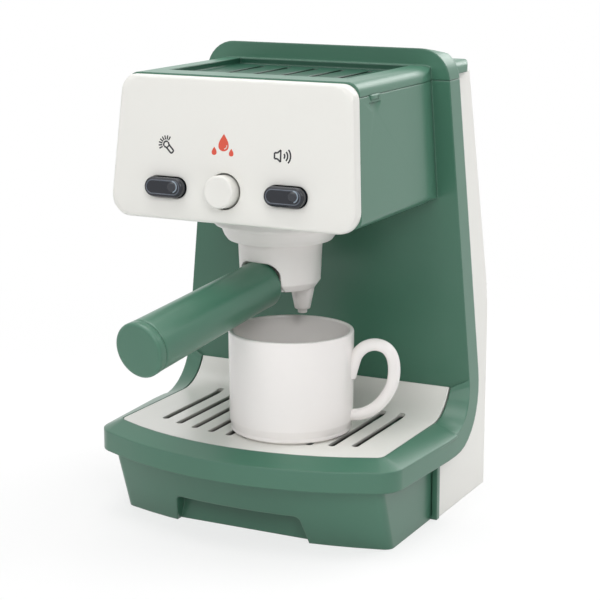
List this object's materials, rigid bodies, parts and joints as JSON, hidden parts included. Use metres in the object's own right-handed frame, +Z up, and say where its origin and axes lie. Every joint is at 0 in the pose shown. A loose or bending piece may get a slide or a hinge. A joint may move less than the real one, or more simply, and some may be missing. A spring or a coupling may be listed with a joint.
{
  "type": "toy coffee maker",
  "caption": "Play espresso machine with a bowed drip tray, pull-out water drawer, swinging portafilter, push buttons, hinged top cover and a small mug.",
  "frame": {"origin": "on the table under the middle of the machine, 25 mm ahead of the frame's front face", "axes": "+Z up, front faces -Y, +X to the viewer's right"},
  "size_m": [0.171, 0.2026, 0.2335],
  "materials": {
    "green_abs": "satin",
    "ivory_abs": "satin",
    "smoke_plastic": "gloss",
    "spring_steel": "satin",
    "nickel": "bright",
    "board": "satin",
    "lamp": "clear",
    "clear_pvc": "clear",
    "acetal": "satin",
    "black_nylon": "satin",
    "cell_can": "satin"
  },
  "bodies": {
    "housing": {"front_shell": "green_abs", "rear_housing": "ivory_abs", "base_plate": "green_abs", "lid_hinge_pins": "spring_steel", "control_panel": "ivory_abs", "button_board": "board", "button_lamps": "lamp", "light_spring": "spring_steel", "sound_spring": "spring_steel", "power_spring": "spring_steel", "group_collar": "ivory_abs", "group_spigot": "acetal", "batteries": "cell_can", "battery_contacts": "nickel", "pump_motor": "spring_steel", "pump_head": "black_nylon", "suction_tube": "clear_pvc", "water_tube": "clear_pvc", "main_board": "board", "speaker": "black_nylon", "case_screws": "spring_steel"},
    "lid": {"top_cover": "green_abs"},
    "light_key": {"light_button": "smoke_plastic"},
    "sound_key": {"sound_button": "smoke_plastic"},
    "power_key": {"power_button": "ivory_abs"},
    "portafilter": {"portafilter_bowl": "ivory_abs", "spout": "ivory_abs", "portafilter_handle": "green_abs", "handle_cap": "green_abs"},
    "grate": {"drip_grate": "ivory_abs"},
    "cup": {"mug": "ivory_abs"},
    "drawer": {"water_drawer": "green_abs"},
    "cell_door": {"battery_door": "ivory_abs"}
  },
  "joints": [
    {"name": "lid_open", "type": "hinge", "parent": "housing", "child": "lid", "pos_m": [0, 0.0611, 0.22025], "axis": [-1, 0, 0], "range_deg": [0, 92]},
    {"name": "light_press", "type": "slide", "parent": "housing", "child": "light_key", "axis": [0, 0.9956, -0.0941], "range_m": [0, 0.0016], "stiffness_N_per_m": 300, "springref_m": -0.001, "deforming": ["light_spring"]},
    {"name": "sound_press", "type": "slide", "parent": "housing", "child": "sound_key", "axis": [0, 0.9956, -0.0941], "range_m": [0, 0.0016], "stiffness_N_per_m": 300, "springref_m": -0.001, "deforming": ["sound_spring"]},
    {"name": "power_press", "type": "slide", "parent": "housing", "child": "power_key", "axis": [0, 0.9956, -0.0941], "range_m": [0, 0.0016], "stiffness_N_per_m": 300, "springref_m": -0.001, "deforming": ["power_spring"]},
    {"name": "portafilter_turn", "type": "hinge", "parent": "housing", "child": "portafilter", "pos_m": [0, -0.0248, 0.14], "axis": [0, 0, 1], "range_deg": [-35, 9]},
    {"name": "grate_tilt", "type": "hinge", "parent": "housing", "child": "grate", "pos_m": [0, 0.0228, 0.0622], "axis": [-1, 0, 0], "range_deg": [0, 3]},
    {"name": "mug_slide", "type": "slide", "parent": "grate", "child": "cup", "axis": [0.7071, -0.7071, 0], "range_m": [0, 0.14]},
    {"name": "drawer_pull", "type": "slide", "parent": "housing", "child": "drawer", "axis": [0, -1, 0], "range_m": [0, 0.07]},
    {"name": "cell_door_off", "type": "slide", "parent": "housing", "child": "cell_door", "axis": [0, 1, 0], "range_m": [0, 0.03]}
  ]
}
